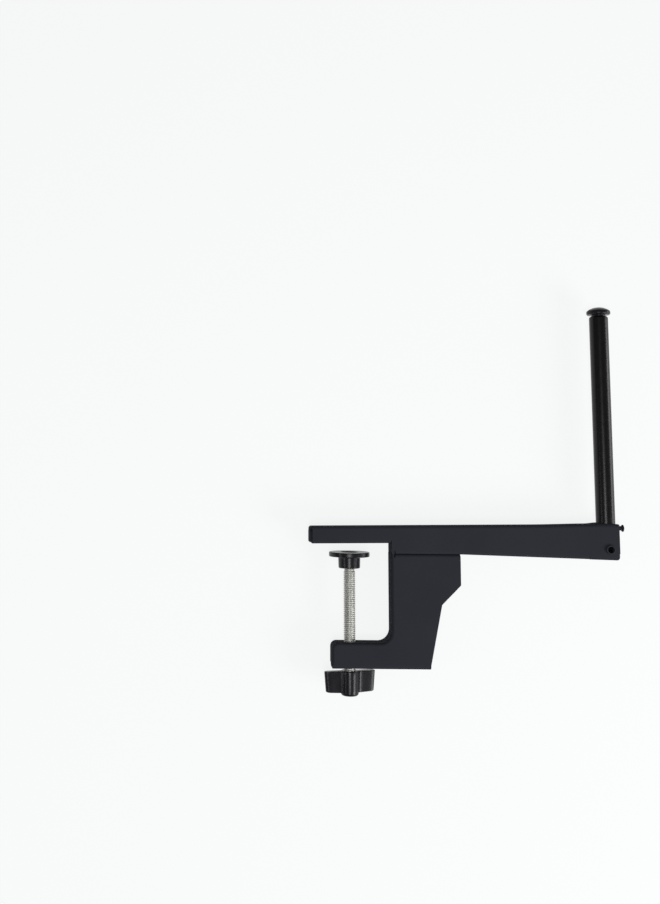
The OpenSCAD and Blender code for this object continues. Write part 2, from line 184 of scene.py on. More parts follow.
def drill(piece, place, radius, length, axis):
    """Takes a turned cutter of this radius and length away, centred on a point."""
    half = length / 2
    profile = np.array([[0, -half], [radius, -half], [radius, half], [0, half]])
    grid = lay_along(turned(profile, 64), axis) + np.array(place)
    return carve(piece, make_piece("cutter", [grid], (0, 0, 1), closed=True))


def carve(piece, cutter, operation="DIFFERENCE"):
    """Takes the cutter away from the piece, or joins it on with "UNION", and deletes the cutter."""
    cut = piece.modifiers.new("cut", "BOOLEAN")
    cut.object = cutter
    cut.operation = operation
    cut.solver = "EXACT"
    settle(piece)
    bpy.data.objects.remove(cutter)
    return piece


def finish_edges(piece, width=0.15, angle=32):
    """Breaks each edge sharper than the angle, and shades the rest smooth."""
    if width:
        bevel = piece.modifiers.new("edges", "BEVEL")
        bevel.width = width * MM
        bevel.segments = 2
        bevel.limit_method = "ANGLE"
        bevel.angle_limit = np.radians(angle)
        bevel.use_clamp_overlap = True
        settle(piece)
    piece.data.shade_smooth()
    piece.data.set_sharp_from_angle(angle=np.radians(angle + 6))
    even = piece.modifiers.new("normals", "WEIGHTED_NORMAL")
    even.keep_sharp = True
    even.weight = 80
    return settle(piece)


def hand_over(piece, node, material):
    """The piece takes the node's place, rides on its body and gets its finish."""
    piece.data.materials.clear()
    piece.data.materials.append(material)
    bodies = frame["record"]["behaviour"]["bodies"]
    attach(piece, next(body for body, nodes in bodies.items() if node in nodes))
    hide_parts(node)
    piece.data.calc_loop_triangles()
    size = np.ptp(np.array([v.co for v in piece.data.vertices]), axis=0) / MM
    print(piece.name, len(piece.data.loop_triangles), "triangles,", size.round(1), "mm")


# %% [markdown]
# ## Finishes
# Four finishes: black powder coat on the folded sheet, black enamel on the tube, moulded black
# plastic and zinc plating. Each is one node tree on Object coordinates, which are metres here, so
# a pattern's scale is 1 divided by its real spacing in metres.

# %% Colour and node helpers


def linear(code):
    """An sRGB hex colour as linear values: below 0.04045 divided by 12.92, else
    ((c + 0.055) / 1.055) to the power 2.4."""
    c = np.array([int(code[i : i + 2], 16) for i in (1, 3, 5)]) / 255
    c = np.where(c <= 0.04045, c / 12.92, ((c + 0.055) / 1.055) ** 2.4)
    return (*c.tolist(), 1.0)


def add_node(tree, kind, settings=None, inputs=None):
    """Adds one node; an input is a value, or the socket that it is linked from."""
    node = tree.nodes.new(kind)
    for key, value in (settings or {}).items():
        setattr(node, key, value)
    for key, value in (inputs or {}).items():
        if isinstance(value, bpy.types.NodeSocket):
            tree.links.new(value, node.inputs[key])
        else:
            node.inputs[key].default_value = value
    return node


def new_material(name):
    material = bpy.data.materials.new(name)
    material.use_nodes = True
    material.node_tree.nodes.clear()
    return material, material.node_tree


print("middle grey #808080 is", round(linear("#808080")[0], 3), "of white")

# %% [markdown]
# **Powder coat.** Sprayed powder that is baked to a film of about 0.07 mm. It flows out to a skin
# with a faint orange peel of 1 to 2 mm, and fine pinholes between. The eye sees a near black,
# slightly blue, with a dull and even sheen. Bump gives the peel and the pinholes without any
# faces. Baked polyester has an IOR near 1.5; it is set far lower here, because a rough film
# scatters what it mirrors at a low angle, and the folds of the real one stay dark.

# %% Black powder coat on steel
COAT_DARK, COAT_LIGHT = "#2e2f35", "#36373d"


def powder_coat():
    material, tree = new_material("black powder coat")
    place = add_node(tree, "ShaderNodeTexCoord").outputs["Object"]
    peel = add_node(
        tree,
        "ShaderNodeTexNoise",
        None,
        {"Vector": place, "Scale": 1 / (1.6 * MM), "Detail": 2.0, "Roughness": 0.5},
    ).outputs["Fac"]
    grain = add_node(
        tree, "ShaderNodeTexNoise", None, {"Vector": place, "Scale": 1 / (0.7 * MM), "Detail": 1.0}
    ).outputs["Fac"]
    cloud = add_node(
        tree,
        "ShaderNodeTexNoise",
        None,
        {"Vector": place, "Scale": 1 / (35 * MM), "Detail": 3.0, "Roughness": 0.6},
    ).outputs["Fac"]
    tone = add_node(
        tree,
        "ShaderNodeMix",
        {"data_type": "RGBA"},
        {"Factor": cloud, 6: linear(COAT_DARK), 7: linear(COAT_LIGHT)},
    )
    gloss = add_node(
        tree,
        "ShaderNodeMapRange",
        None,
        {"Value": cloud, "From Min": 0.3, "From Max": 0.7, "To Min": 0.66, "To Max": 0.78},
    )
    waves = add_node(
        tree, "ShaderNodeBump", None, {"Height": peel, "Strength": 0.25, "Distance": 0.08 * MM}
    ).outputs["Normal"]
    pits = add_node(
        tree,
        "ShaderNodeBump",
        None,
        {"Height": grain, "Normal": waves, "Strength": 0.25, "Distance": 0.04 * MM},
    ).outputs["Normal"]
    rough = gloss.outputs["Result"]
    shader = add_node(
        tree,
        "ShaderNodeBsdfPrincipled",
        None,
        {"Base Color": tone.outputs[2], "Roughness": rough, "IOR": 1.07, "Normal": pits},
    )
    add_node(tree, "ShaderNodeOutputMaterial", None, {"Surface": shader.outputs["BSDF"]})
    return material


black_steel = powder_coat()
print(black_steel.name, len(black_steel.node_tree.nodes), "nodes")

# %% [markdown]
# **Enamelled tube.** Drawn tube is rounder and smoother than folded sheet, and its enamel is
# glossier: the eye sees a deep black with narrow streaks of light. Faint draw lines run along it,
# about 0.8 mm apart. A noise that is stretched along the tube gives them.

# %% Black enamel on the tube
ENAMEL_DARK, ENAMEL_LIGHT = "#060608", "#0c0c0f"
DRAWN_OUT = 0.03  # the draw lines change this much more slowly along the tube


def tube_enamel():
    material, tree = new_material("black enamel on tube")
    place = add_node(tree, "ShaderNodeTexCoord").outputs["Object"]
    along = add_node(
        tree, "ShaderNodeMapping", None, {"Vector": place, "Scale": (1.0, 1.0, DRAWN_OUT)}
    ).outputs["Vector"]
    lines = add_node(
        tree, "ShaderNodeTexNoise", None, {"Vector": along, "Scale": 1 / (0.8 * MM), "Detail": 2.0}
    ).outputs["Fac"]
    peel = add_node(
        tree, "ShaderNodeTexNoise", None, {"Vector": place, "Scale": 1 / (2.5 * MM), "Detail": 2.0}
    ).outputs["Fac"]
    gloss = add_node(
        tree, "ShaderNodeMapRange", None, {"Value": peel, "To Min": 0.22, "To Max": 0.34}
    )
    drawn = add_node(
        tree, "ShaderNodeBump", None, {"Height": lines, "Strength": 0.12, "Distance": 0.03 * MM}
    ).outputs["Normal"]
    waves = add_node(
        tree,
        "ShaderNodeBump",
        None,
        {"Height": peel, "Normal": drawn, "Strength": 0.12, "Distance": 0.1 * MM},
    ).outputs["Normal"]
    tone = add_node(
        tree,
        "ShaderNodeMix",
        {"data_type": "RGBA"},
        {"Factor": peel, 6: linear(ENAMEL_DARK), 7: linear(ENAMEL_LIGHT)},
    )
    rough = gloss.outputs["Result"]
    shader = add_node(
        tree,
        "ShaderNodeBsdfPrincipled",
        None,
        {"Base Color": tone.outputs[2], "Roughness": rough, "IOR": 1.36, "Normal": waves},
    )
    add_node(tree, "ShaderNodeOutputMaterial", None, {"Surface": shader.outputs["BSDF"]})
    return material


black_tube = tube_enamel()
print(black_tube.name, len(black_tube.node_tree.nodes), "nodes")

# %% [markdown]
# **Moulded plastic.** ABS or nylon from a spark-eroded mould has a fine even grain of 0.2 to
# 0.4 mm. Here it is drawn at 0.5 mm so that it shows at all. The eye sees a black that is a little
# greyer than the tube, with soft streaks on its round parts. The IOR is lowered from about 1.5.

# %% Moulded black plastic
PLASTIC_DARK, PLASTIC_LIGHT = "#0f0f14", "#1a1a20"


def moulded_plastic():
    material, tree = new_material("moulded black plastic")
    place = add_node(tree, "ShaderNodeTexCoord").outputs["Object"]
    grain = add_node(
        tree, "ShaderNodeTexNoise", None, {"Vector": place, "Scale": 1 / (0.5 * MM), "Detail": 2.0}
    ).outputs["Fac"]
    flow = add_node(
        tree, "ShaderNodeTexNoise", None, {"Vector": place, "Scale": 1 / (8 * MM), "Detail": 2.0}
    ).outputs["Fac"]
    tone = add_node(
        tree,
        "ShaderNodeMix",
        {"data_type": "RGBA"},
        {"Factor": flow, 6: linear(PLASTIC_DARK), 7: linear(PLASTIC_LIGHT)},
    )
    gloss = add_node(
        tree, "ShaderNodeMapRange", None, {"Value": flow, "To Min": 0.22, "To Max": 0.34}
    )
    bumps = add_node(
        tree, "ShaderNodeBump", None, {"Height": grain, "Strength": 0.3, "Distance": 0.03 * MM}
    ).outputs["Normal"]
    rough = gloss.outputs["Result"]
    shader = add_node(
        tree,
        "ShaderNodeBsdfPrincipled",
        None,
        {"Base Color": tone.outputs[2], "Roughness": rough, "IOR": 1.34, "Normal": bumps},
    )
    add_node(tree, "ShaderNodeOutputMaterial", None, {"Surface": shader.outputs["BSDF"]})
    return material


black_plastic = moulded_plastic()
print(black_plastic.name, len(black_plastic.node_tree.nodes), "nodes")

# %% [markdown]
# **Zinc plating.** A few thousandths of a millimetre of bright zinc, passivated. The eye sees a
# nearly neutral light grey metal with a soft gloss, cloudy over a few millimetres.

# %% Bright zinc plating
ZINC_DARK, ZINC_LIGHT = "#b0b1ac", "#d8d8d2"


def zinc_plating():
    material, tree = new_material("bright zinc plating")
    place = add_node(tree, "ShaderNodeTexCoord").outputs["Object"]
    cloud = add_node(
        tree,
        "ShaderNodeTexNoise",
        None,
        {"Vector": place, "Scale": 1 / (4 * MM), "Detail": 3.0, "Roughness": 0.6},
    ).outputs["Fac"]
    grain = add_node(
        tree, "ShaderNodeTexNoise", None, {"Vector": place, "Scale": 1 / (0.6 * MM), "Detail": 1.0}
    ).outputs["Fac"]
    tone = add_node(
        tree,
        "ShaderNodeMix",
        {"data_type": "RGBA"},
        {"Factor": cloud, 6: linear(ZINC_DARK), 7: linear(ZINC_LIGHT)},
    )
    gloss = add_node(
        tree, "ShaderNodeMapRange", None, {"Value": cloud, "To Min": 0.46, "To Max": 0.6}
    )
    bumps = add_node(
        tree, "ShaderNodeBump", None, {"Height": grain, "Strength": 0.15, "Distance": 0.03 * MM}
    ).outputs["Normal"]
    rough = gloss.outputs["Result"]
    shader = add_node(
        tree,
        "ShaderNodeBsdfPrincipled",
        None,
        {"Base Color": tone.outputs[2], "Metallic": 1.0, "Roughness": rough, "Normal": bumps},
    )
    add_node(tree, "ShaderNodeOutputMaterial", None, {"Surface": shader.outputs["BSDF"]})
    return material


zinc_steel = zinc_plating()
print(zinc_steel.name, len(zinc_steel.node_tree.nodes), "nodes")

# %% [markdown]
# ## The arm
# One channel, folded from 1.5 mm sheet: a web on top, two walls, and lips turned in along the
# bottom. It could be cut from a solid, as the CAD model is, but a real fold has one thickness all
# the way round, so the outer skin is made as grids and Solidify gives it the sheet.

# %% The arm's lines
SHEET, HALF_W = 1.5, 8.2
ARM_FOLD, END_FOLD, LIP_FOLD, JAW_FOLD = 2.3, 1.8, 2.0, 1.8
ARM_LIP, JAW_LIP = 4.0, 5.2  # how far a lip's edge stays from the middle plane
JAW_H = 11.4
TIP_X, STEP_X, KINK_X, POST_X, END_X = -27.5, 27.9, 75.8, 175.75, 183.65
ARM_LOW, END_LOW = -6.8, -9.7
SWELL, SWELL_X, SWELL_RUN = 0.5, 125.0, 40.0
END_FALL, FALL_X = 0.35, 176.0
# The lips start 1 mm behind the step's sheet and stop 22 mm before the arm's end.
LIP_START, LIP_END = STEP_X + SHEET + 1.0, END_X - 22.0
SLOPE = np.tan(np.radians(0.8))
NEAR = 1e-6  # slack when a row is looked up by its place
QUARTER = np.linspace(0, np.pi / 2, 9)


def smooth(t):
    """0 below 0, 1 above 1, and 3 t^2 - 2 t^3 between."""
    t = np.clip(t, 0, 1)
    return t * t * (3 - 2 * t)


def jaw_line(x):
    """The jaw's gripping face, which droops by 0.8 degrees towards its tip: height = x slope."""
    return x * SLOPE


def top_line(x):
    """The web's height: a straight line that swells by half a millimetre towards the post, where
    the sheet was drawn up, and falls again over the last stretch past it."""
    swell = SWELL * smooth((x - SWELL_X) / SWELL_RUN)
    return JAW_H + x * SLOPE + swell - END_FALL * smooth((x - FALL_X) / (END_X - FALL_X))


def bottom_line(x):
    """The walls' lower edge: level up to the kink, then straight down to the end."""
    return ARM_LOW + (END_LOW - ARM_LOW) * np.clip((x - KINK_X) / (END_X - KINK_X), 0, 1)


COLLAR_H, COLLAR_LEAN = 0.5, 0.3
COLLAR_R, COLLAR_RUN = 6.6, 8.0
COLLAR_HALF, COLLAR_SIDE = 5.2, 3.0


def collar(x, y):
    """Sheet drawn up round the post: a swelling that is highest at the hole's rim, 0.8 mm on the
    jaw side and 0.2 mm on the end side, and dies out over 8 mm and towards the long folds."""
    away = np.hypot(x - POST_X, y)
    height = COLLAR_H - COLLAR_LEAN * (x - POST_X) / np.maximum(away, NEAR)
    fade = 1 - smooth((away - COLLAR_R) / COLLAR_RUN)
    side = 1 - smooth((np.abs(y) - COLLAR_HALF) / COLLAR_SIDE)
    return height * fade * side


print("web over the post:", round(float(top_line(POST_X)), 2), "mm above the jaw's face")


# %% The arm's skin
def section_half():
    """From the middle of the web out over the fold: distance from the middle plane and drop below
    the web, with the fold as a quarter circle."""
    turn = QUARTER[1:]
    web = np.linspace(0, HALF_W - ARM_FOLD, 11)
    y = np.concatenate([web, HALF_W - ARM_FOLD + ARM_FOLD * np.sin(turn)])
    drop = np.concatenate([0 * web, ARM_FOLD * (1 - np.cos(turn))])
    return y, drop


half_y, half_drop = section_half()
full_y = np.concatenate([-half_y[:0:-1], half_y])
full_drop = np.concatenate([half_drop[:0:-1], half_drop])
web_columns = np.abs(full_y) <= HALF_W - ARM_FOLD + NEAR

START_X, STOP_X = TIP_X + END_FOLD, END_X - END_FOLD
END_CORNER = 2.0
FINE_X = 150.0  # the rows lie closer from here on, where the collar swells
STEP_GAP, LIP_GAP = 0.4, 0.6  # a section changes its form within one short row
corner_x = STOP_X - END_CORNER * (1 - np.sin(np.linspace(0, np.pi / 2, 5)))
marks = [STEP_X - STEP_GAP, STEP_X, LIP_START - LIP_GAP, LIP_START, LIP_END]
coarse, fine = np.linspace(START_X, FINE_X, 60), np.linspace(FINE_X, STOP_X - END_CORNER, 58)
arm_x = np.unique(np.round(np.concatenate([coarse, fine, corner_x, marks]), 6))
print(len(arm_x), "rows along the arm and", len(full_y), "columns across it")


def web_grid(x, y, drop):
    """Rows run along the arm and columns across it; height = web line + collar - drop of the fold."""
    x, y = x[:, None] + 0 * y, 0 * x[:, None] + y
    return np.stack([x, y, top_line(x) + collar(x, y) - drop], axis=-1)


def wall_grid(x, high, low, side, rows=5):
    """A flat wall between two lines over x."""
    t = np.linspace(0, 1, rows)
    z = high[:, None] * (1 - t) + low[:, None] * t
    x = x[:, None] + 0 * t
    return np.stack([x, side * HALF_W + 0 * x, z], axis=-1)


def lip_grid(x, base, radius, side, inner):
    """A fold of a quarter circle from the wall to a lip, which ends at the distance inner."""
    y = np.concatenate([HALF_W - radius * (1 - np.cos(QUARTER)), [inner]])
    rise = np.concatenate([radius * (1 - np.sin(QUARTER)), [0]])
    x = x[:, None] + 0 * y
    return np.stack([x, side * y + 0 * x, base[:, None] + rise], axis=-1)


def arm_walls(side):
    """The waist line runs just over the jaw's lip fold; what hangs below it starts at the step. The
    lower corner at the end is a quarter circle: it rises by r - sqrt(r^2 - distance^2)."""
    waist = jaw_line(np.minimum(arm_x, STEP_X)) + JAW_FOLD
    fold_end = top_line(arm_x) - ARM_FOLD
    grids = [wall_grid(arm_x, fold_end, waist, side)]
    jaw = arm_x <= STEP_X - STEP_GAP + NEAR
    grids.append(lip_grid(arm_x[jaw], jaw_line(arm_x[jaw]), JAW_FOLD, side, JAW_LIP))
    low = arm_x >= STEP_X - NEAR
    x, base = arm_x[low], bottom_line(arm_x[low])
    grids.append(wall_grid(x, waist[low], base + LIP_FOLD, side))
    past = np.clip(x - (STOP_X - END_CORNER), 0, END_CORNER)
    corner = END_CORNER - np.sqrt(END_CORNER**2 - past**2)
    raw = (x <= LIP_START - LIP_GAP + NEAR, x >= LIP_END - NEAR)
    grids += [wall_grid(x[r], base[r] + LIP_FOLD, (base + corner)[r], side, 2) for r in raw]
    lip = (x >= LIP_START - NEAR) & (x <= LIP_END + NEAR)
    grids.append(lip_grid(x[lip], base[lip], LIP_FOLD, side, ARM_LIP))
    return grids


FLARE = 1.4  # the end walls reach their own width over this depth


def end_flange(x_fold, way, low, half_width, begin):
    """The web's end, folded down: a quarter circle round the fold, then straight down. Its half
    width is the web's on the fold, and changes to its own from the depth begin on."""
    out, fall = END_FOLD * np.sin(QUARTER), END_FOLD * (1 - np.cos(QUARTER))
    top = top_line(x_fold)
    down = np.linspace(0, 1, 12)[1:]
    reach = top - END_FOLD - low
    x = np.concatenate([x_fold + way * out, x_fold + way * END_FOLD + 0 * down])
    z = np.concatenate([top - fall, top - END_FOLD - reach * down])
    spread = 1 + (half_width / (HALF_W - ARM_FOLD) - 1) * smooth((top - begin - z) / FLARE)
    y = full_y[web_columns]
    swell = collar(x_fold + 0 * y, y)
    fade = np.concatenate([np.cos(QUARTER), 0 * down])[:, None]
    grid_z = z[:, None] + swell * fade
    return np.stack([x[:, None] + 0 * y, y * spread[:, None], grid_z], axis=-1)


# %% Fold, drill and finish the arm
JAW_WALL_HALF, END_WALL_HALF = 7.2, 4.2
JAW_WALL_UP, END_WALL_UP = 1.0, 4.0  # both walls end this far above the arm's lower edge
POST_HOLE, RIVET_HOLE, STUD_HOLE = 6.42, 2.55, 1.55
RIVET_UP = 6.9
END_DROP, STUD_DROP = 0.2, 2.4

arm_grids = [web_grid(arm_x, full_y, full_drop)]
for side in (-1, 1):
    arm_grids += arm_walls(side)
jaw_wall_low = jaw_line(TIP_X) + JAW_WALL_UP
arm_grids.append(end_flange(START_X, -1, jaw_wall_low, JAW_WALL_HALF, END_FOLD + 0.4))
arm_grids.append(end_flange(STOP_X, 1, END_LOW + END_WALL_UP, END_WALL_HALF, 0.1))
arm = make_piece("arm_channel_steel", arm_grids, (0, 0, 1))
thicken(arm, SHEET)
rivet_z = bottom_line(POST_X) + RIVET_UP
stud_z = JAW_H + END_X * SLOPE - END_DROP - STUD_DROP
drill(arm, (POST_X, 0, 12), POST_HOLE, 12, "z")
drill(arm, (POST_X, 0, rivet_z), RIVET_HOLE, 40, "y")
drill(arm, (END_X, 0, stud_z), STUD_HOLE, 6, "x")
finish_edges(arm)
hand_over(arm, "arm_channel", black_steel)

# %% [markdown]
# ## The jaw plate
# A strip between the jaw's lips, which closes the channel so that it bears on the table with a
# face, and which turns down at the step and makes the stop face. A thin box would do for the flat
# part. A strip that is carried along its outline and then thickened also gets the bend right.

# %% Fold the jaw plate
PLATE_ROOM, PLATE_BEND = 0.1, 0.5
STOP_HALF = 6.6


def strip(outline, half_width):
    """A flat strip carried along an outline in the side view: y = half width times -1 to 1. Its
    half width may change on the way."""
    across = np.linspace(-1, 1, 7)
    x, z = outline[:, :1], outline[:, 1:]
    return np.stack([x + 0 * across, half_width[:, None] * across, z + 0 * across], axis=-1)


plate_line = rounded(
    [
        (TIP_X + SHEET + PLATE_ROOM, jaw_line(TIP_X + SHEET), 0),
        (STEP_X, jaw_line(STEP_X), PLATE_BEND),
        (STEP_X, ARM_LOW, 0),
    ]
)
below_lips = plate_line[:, 1] < jaw_line(STEP_X) - 0.3
wide = np.where(below_lips, STOP_HALF, JAW_LIP - PLATE_ROOM)
jaw_plate = make_piece("jaw_plate_steel", [strip(plate_line, wide)], (-1, 0, -0.2))
thicken(jaw_plate, SHEET)
finish_edges(jaw_plate)
hand_over(jaw_plate, "jaw_plate", black_steel)

# %% [markdown]
# ## The C bracket
# Two pressed halves meet in a seam down the middle of the throat, the lower jaw and the foot. Each
# half is a flat plate with edges folded over by 90 degrees. A fold is the same short section
# everywhere, so it is carried along the bracket's outline, and the plate is one flat face that
# shares the fold's inner line. The outer side is left open, with the raw edges of the sheet.

# %% The bracket's outline
STOP_FACE, LOWER_Z, BASE_Z, NOSE_X = 27.5, -65.7, -82.6, -12.6
THROAT_R, NOSE_R, EDGE_FOLD, FOOT_FOLD = 8.0, 4.0, 2.0, 3.0
OUTER_X, FOOT_X, SHOULDER_Z, SHOULDER = 74.3, 53.6, -27.2, 12.9
SHOULDER_R = 1.2
SEAM = 0.05  # half of the gap between the two halves
ROD_HOLE = 4.6


def throat_path():
    """Points down the stop face, round the throat, along the lower jaw, over the nose and down its
    front, each with the direction that points into the bracket."""
    a = np.radians(np.linspace(0, -90, 17))
    b = np.radians(np.linspace(90, 180, 13))
    c1, c2 = (STOP_FACE - THROAT_R, LOWER_Z + THROAT_R), (NOSE_X + NOSE_R, LOWER_Z - NOSE_R)
    throat_way = np.stack([np.cos(a), np.sin(a)], axis=1)
    nose_way = np.stack([np.cos(b), np.sin(b)], axis=1)
    first = np.array([[STOP_FACE, ARM_LOW], [STOP_FACE, ARM_LOW - ARM_FOLD]])
    last = np.array([[NOSE_X, BASE_Z + FOOT_FOLD]])
    throat, nose = np.array(c1) + THROAT_R * throat_way, np.array(c2) + NOSE_R * nose_way
    points = np.concatenate([first, throat, nose, last])
    ways = np.concatenate([[[1, 0], [1, 0]], throat_way, -nose_way, [[1, 0]]])
    return points, ways


def fold_grid(points, ways, radius, side):
    """The folded edge, carried along a path: from the seam out to the fold, then a quarter circle
    that ends in the plate. Each point is the path's point plus the drop along its way inwards."""
    flat = HALF_W - radius
    y = np.concatenate([np.linspace(SEAM, flat, 4)[:-1], flat + radius * np.sin(QUARTER)])
    drop = np.concatenate([np.zeros(3), radius * (1 - np.cos(QUARTER))])
    x = points[:, :1] + ways[:, :1] * drop
    z = points[:, 1:] + ways[:, 1:] * drop
    return np.stack([x, side * y + 0 * x, z], axis=-1)


def straight_edge(x, z, way, radius, side):
    """A folded edge along a level line, through the given places."""
    return fold_grid(np.stack([x, z + 0 * x], 1), np.array([[0, way]] * len(x)), radius, side)


def bracket_half(name, node, side):
    """The folded edges, and the plate as one flat face whose outline is their inner lines and the
    raw outer edge."""
    points, ways = throat_path()
    main = fold_grid(points, ways, EDGE_FOLD, side)
    foot_x = np.array([NOSE_X + 0.5, NOSE_X + EDGE_FOLD, 10.0, 30.0, FOOT_X])
    foot = straight_edge(foot_x, BASE_Z, 1, FOOT_FOLD, side)
    top_x = np.array([OUTER_X, 60.0, 45.0, STOP_FACE + EDGE_FOLD + 0.8])
    top = straight_edge(top_x, ARM_LOW, -1, ARM_FOLD, side)
    raw = rounded(
        [
            (FOOT_X, BASE_Z + FOOT_FOLD, 0),
            (OUTER_X - SHOULDER, SHOULDER_Z - SHOULDER, SHOULDER_R),
            (OUTER_X, SHOULDER_Z, SHOULDER_R),
            (OUTER_X, ARM_LOW - ARM_FOLD, 0),
        ]
    )
    raw = np.insert(raw, 1, side * HALF_W, axis=1)
    rim = np.concatenate([main[1:, -1], foot[2:, -1], raw[1:], top[1:, -1]])
    piece = make_piece(name, [main, foot, top], (0, side, 0), plates=[rim])
    thicken(piece, SHEET)
    drill(piece, (0, 0, (LOWER_Z + BASE_Z) / 2), ROD_HOLE, 30, "z")
    finish_edges(piece)
    hand_over(piece, node, black_steel)


bracket_half("bracket_front_steel", "bracket_front", -1)
bracket_half("bracket_rear_steel", "bracket_rear", 1)

# %% [markdown]
# ## The clamp screw
# An M8 rod: pitch 1.25 mm, crest 8 mm and root 6.5 mm across. The rows of the grid follow the
# helix, so that crest and root are clean lines, which bump on a plain rod would not give at its
# edge. The upper end is turned down to a journal, which the pad turns on, and is peened over a
# washer.

# %% Cut the thread
PITCH, CREST, ROOT = 1.25, 3.98, 3.28
THREAD_LOW, THREAD_HIGH = -97.9, -10.55
PILOT_LOW, PILOT_R = -18.8, 3.5
JOURNAL_R, JOURNAL_HIGH = 2.5, -7.5
PEEN_R, PEEN_HIGH = 3.7, -7.0


def thread_grid(low, high, count=48):
    """Five rows a turn. Row height = pitch * (row + angle / full turn), held between the ends;
    radius follows crest, flank, root over each pitch. Above PILOT_LOW, where the pad turns on the
    rod, the crests are turned down to PILOT_R over a 45 degree chamfer."""
    levels = np.array([0.0, 0.16, 0.42, 0.58, 0.84])
    radii = np.array([CREST, CREST, ROOT, ROOT, CREST])
    turns = np.arange(int((high - low) / PITCH) + 3) - 1
    rows = (turns[:, None] + levels).reshape(-1)
    radius = np.tile(radii, len(turns))
    angle = np.arange(count + 1) * 2 * np.pi / count
    z = np.clip(low + PITCH * (rows[:, None] + angle / (2 * np.pi)), low, high)
    r = radius[:, None] + 0 * angle
    chamfer = np.clip(np.minimum(z - low, high - z) + ROOT, ROOT, CREST)
    pilot = np.clip(PILOT_R + PILOT_LOW - z, PILOT_R, CREST)
    r = np.minimum(np.minimum(r, chamfer), pilot)
    return np.stack([r * np.cos(angle), r * np.sin(angle), z], axis=-1)


thread = thread_grid(THREAD_LOW, THREAD_HIGH)
journal = turned(
    rounded(
        [
            (0, THREAD_HIGH, 0),
            (JOURNAL_R, THREAD_HIGH, 0),
            (JOURNAL_R, JOURNAL_HIGH, 0),
            (PEEN_R, JOURNAL_HIGH, 0.1),
            (PEEN_R - 0.4, PEEN_HIGH - 0.05, 0.3),
            (0, PEEN_HIGH, 0),
        ]
    )
)
foot_disc = turned(np.array([[0, THREAD_LOW], [ROOT, THREAD_LOW]]), 48)
top_disc = turned(np.array([[ROOT, THREAD_HIGH], [0, THREAD_HIGH]]), 48)
screw = make_piece("clamp_screw_zinc", [thread], (0, -1, 0))
caps = make_piece("screw_end", [journal], (0, 0, 1), closed=True)
discs = make_piece("screw_discs", [foot_disc, top_disc], (0, 0, 1), closed=True)
for extra in (caps, discs):
    work = bmesh.new()
    work.from_mesh(screw.data)
    work.from_mesh(extra.data)
    bmesh.ops.remove_doubles(work, verts=work.verts, dist=MERGE)
    work.to_mesh(screw.data)
    work.free()
    bpy.data.objects.remove(extra)
finish_edges(screw, 0, 26)
hand_over(screw, "clamp_screw", zinc_steel)

# %% [markdown]
# ## Weld nut and washer
# A 13 mm hexagon. Its distance from the axis is 6.5 mm divided by the cosine of the angle to the
# nearest flat. Both ends are turned to a cone, which is what makes a nut's curved corner lines, so
# the nut is one turned surface whose radius also depends on the angle. The washer is plainly
# turned.

# %% Turn the nut and the washer
NUT_HALF, NUT_H, NUT_BORE, NUT_CHAMFER = 6.5, 6.5, 4.05, 0.4
NUT_SEAT, NUT_CROWN = 5.0, 6.3


def nut_grid(low, high, count=96):
    """Rings up the bore, over the lower cone, the flats and the upper cone, and back into the bore:
    corner = half width / cos(angle to the nearest flat)."""
    angle = np.arange(count) * 2 * np.pi / count
    corner = NUT_HALF / np.cos((angle + np.pi / 6) % (np.pi / 3) - np.pi / 6)
    ones = 1 + 0 * angle
    bore, mouth = NUT_BORE * ones, (NUT_BORE + NUT_CHAMFER) * ones
    seat, crown = NUT_SEAT * ones, NUT_CROWN * ones
    rise = corner - seat
    fall = (corner - crown) * np.tan(np.radians(30))
    foot, head = (low + NUT_CHAMFER) * ones, (high - NUT_CHAMFER) * ones
    r = np.stack([bore, mouth, seat, corner, corner, crown, mouth, bore, bore])
    z = np.stack(
        [foot, low * ones, low * ones, low + rise, high - fall, high * ones, high * ones, head, foot]
    )
    return np.stack([r * np.cos(angle), r * np.sin(angle), z], axis=-1)


nut_low = BASE_Z + SHEET
nut = make_piece("weld_nut_zinc", [nut_grid(nut_low, nut_low + NUT_H)], (0, 0, 1), closed=True)
finish_edges(nut, 0.08)
hand_over(nut, "weld_nut", zinc_steel)

WASHER_LOW, WASHER_T, WASHER_R, WASHER_BORE = -8.3, 0.8, 4.9, 2.6
washer_line = rounded(
    [
        (3.5, WASHER_LOW, 0),
        (WASHER_R, WASHER_LOW, 0.15),
        (WASHER_R, WASHER_LOW + WASHER_T, 0.15),
        (WASHER_BORE, WASHER_LOW + WASHER_T, 0.05),
        (WASHER_BORE, WASHER_LOW, 0.05),
        (3.5, WASHER_LOW, 0),
    ],
    3,
)
washer = make_piece("pad_washer_zinc", [turned(washer_line)], (0, 0, 1), closed=True)
finish_edges(washer, 0)
hand_over(washer, "pad_washer", zinc_steel)

# %% [markdown]
# ## The swivel pad
# Moulded: a wide disc that presses under the table, and a neck that holds the screw's end and
# narrows by 0.2 mm for the mould. A turned profile with real radii, because a mould has no sharp
# corner; a short cone joins the disc and the neck.

